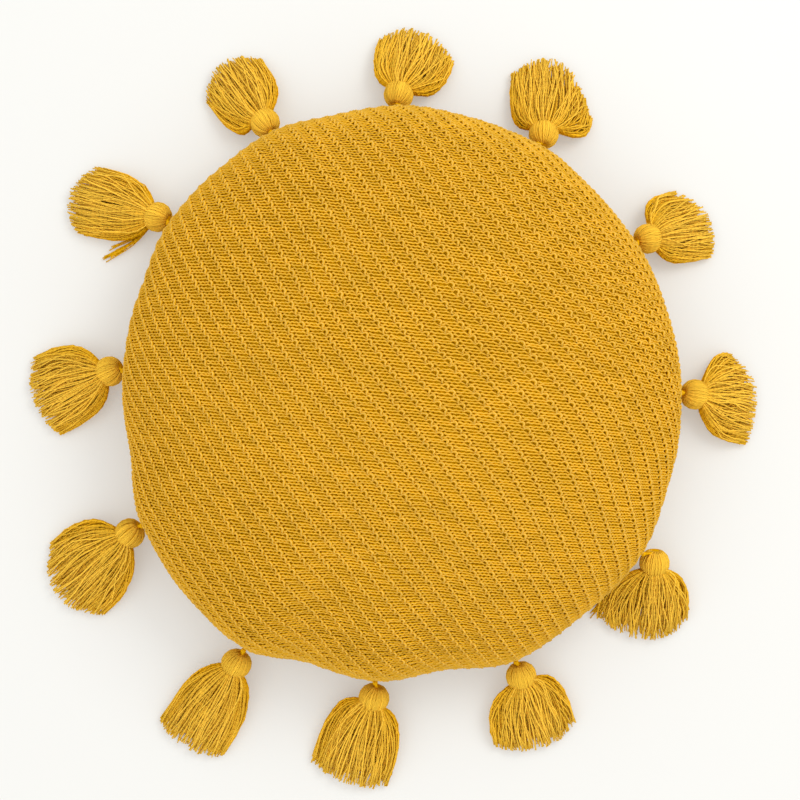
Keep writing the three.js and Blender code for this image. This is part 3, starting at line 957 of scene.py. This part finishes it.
class CUSHION_OT_tie_tassels(bpy.types.Operator):
    """Ties the twelve tassels: folded heads, bound necks and skirts of cut yarn"""

    bl_idname = "cushion.tie_tassels"
    bl_label = "Tie Tassels"

    def execute(self, context):
        sizes, colours = context.scene.cushion_tassels, context.scene.cushion_colours
        # From depth 0.56 the colour turns from the painted shade to the paler painted highlight at 1.12.
        material = yarn_material("skirt_yarn", colours.tassel, colours.tassel_painted_shade,
                                 unevenness_share=0.22, start=0.56, end=1.12)
        for index, row in enumerate(TASSELS):
            rng = np.random.default_rng(300 + index)
            holder = TasselFrame(row, sizes)
            yarn = YarnMesh(columns=6, painted_shade_swing=0.22)
            make_lining(yarn, holder, rng)
            make_skirt(yarn, holder, sizes, rng)
            for owner, *tip in LOOSE_LOCKS:
                if owner == index:
                    make_loose_lock(yarn, holder, sizes, tip, rng)
            make_head(yarn, holder, sizes, rng)
            tassel = yarn.build(f"yarn_tassel_{index + 1:02d}", material)
            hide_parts(f"tassel_{index + 1:02d}")
        return {"FINISHED"}


class CUSHION_OT_set_stage(bpy.types.Operator):
    """Lays the pale floor and sets the lights and the camera"""

    bl_idname = "cushion.set_stage"
    bl_label = "Set Stage"

    def execute(self, context):
        scene = context.scene
        stage, colours = scene.cushion_stage, scene.cushion_colours
        shape = bmesh.new()
        bmesh.ops.create_grid(shape, x_segments=8, y_segments=8, size=6.0)
        mesh = bpy.data.meshes.new("pale_floor")
        shape.to_mesh(mesh)
        shape.free()
        material = bpy.data.materials.new("pale_floor")
        material.use_nodes = True
        shader = material.node_tree.nodes["Principled BSDF"]
        shader.inputs["Base Color"].default_value = (*colours.floor, 1)
        shader.inputs["Roughness"].default_value = 0.95
        shader.inputs["Specular IOR Level"].default_value = 0.05
        shader.inputs["Emission Color"].default_value = (1.0, 0.985, 0.955, 1)
        shader.inputs["Emission Strength"].default_value = stage.floor_glow
        mesh.materials.append(material)
        floor = bpy.data.objects.new("pale_floor", mesh)
        scene.collection.objects.link(floor)
        self.light(scene, "key_light", (0.95, 0.75, 1.35), 0.9, stage.key_power, (1.0, 0.985, 0.96))
        self.light(scene, "fill_light", (-1.2, -0.5, 1.5), 1.4, stage.fill_power, (0.97, 0.985, 1.0))
        sky = bpy.data.worlds.new("even_light")
        sky.use_nodes = True
        back = sky.node_tree.nodes["Background"]
        back.inputs["Color"].default_value = (1.0, 0.995, 0.985, 1)
        back.inputs["Strength"].default_value = stage.sky_strength
        scene.world = sky
        scene.view_settings.view_transform = "Standard"
        scene.view_settings.look = "None"
        self.camera(scene, stage)
        return {"FINISHED"}

    @staticmethod
    def light(scene, name, place_at, size, power, colour):
        """A soft square light that faces the cushion."""
        lamp = bpy.data.lights.new(name, "AREA")
        lamp.size = size
        lamp.energy = power
        lamp.color = colour
        holder = bpy.data.objects.new(name, lamp)
        holder.location = place_at
        holder.rotation_euler = (-Vector(place_at)).to_track_quat("-Z", "Y").to_euler()
        scene.collection.objects.link(holder)

    @staticmethod
    def camera(scene, stage):
        """The photo's view from almost straight above, with the body a little up and right of the middle."""
        lens = bpy.data.cameras.new("camera")
        lens.lens = stage.lens
        lens.sensor_width = 36.0
        lens.clip_start, lens.clip_end = 0.05, 50.0
        holder = bpy.data.objects.new("camera", lens)
        lean = stage.elevation
        back = Vector((0, -math.cos(lean), math.sin(lean)))
        upward = Vector((0, math.sin(lean), math.cos(lean)))
        aim = Vector((AIM_ACROSS, 0, AIM_HEIGHT)) - upward * AIM_DROP
        holder.location = aim + back * stage.distance
        holder.rotation_euler = back.to_track_quat("Z", "Y").to_euler()
        scene.collection.objects.link(holder)
        scene.camera = holder


OPERATORS = (CUSHION_OT_fill_body, CUSHION_OT_knit_front, CUSHION_OT_knit_back, CUSHION_OT_tie_tassels,
             CUSHION_OT_set_stage)
GROUPS = (("cushion_sizes", CushionSizes), ("cushion_knit", KnitSizes), ("cushion_tassels", TasselSizes),
          ("cushion_colours", YarnColours), ("cushion_stage", StageSizes))


class CUSHION_PT_panel(bpy.types.Panel):
    """Lists the cushion's sizes, colours and steps"""

    bl_idname = "CUSHION_PT_panel"
    bl_label = "Knitted Seat Cushion"
    bl_space_type = "VIEW_3D"
    bl_region_type = "UI"
    bl_category = "Cushion"

    def draw(self, context):
        for name, group in GROUPS:
            box = self.layout.box()
            for key in group.__annotations__:
                box.prop(getattr(context.scene, name), key)
        for operator in OPERATORS:
            self.layout.operator(operator.bl_idname)


def register():
    """Adds the classes and hangs the settings on the scene."""
    for _, group in GROUPS:
        bpy.utils.register_class(group)
    for operator in (*OPERATORS, CUSHION_PT_panel):
        bpy.utils.register_class(operator)
    for name, group in GROUPS:
        setattr(bpy.types.Scene, name, PointerProperty(type=group))


def unregister():
    """Takes the settings and the classes away again."""
    for name, _ in GROUPS:
        delattr(bpy.types.Scene, name)
    for operator in (CUSHION_PT_panel, *reversed(OPERATORS)):
        bpy.utils.unregister_class(operator)
    for _, group in reversed(GROUPS):
        bpy.utils.unregister_class(group)


def main():
    """Makes every piece in order."""
    register()
    bpy.ops.cushion.fill_body()
    bpy.ops.cushion.knit_front()
    bpy.ops.cushion.knit_back()
    bpy.ops.cushion.tie_tassels()
    bpy.ops.cushion.set_stage()


if __name__ == "__main__":
    main()
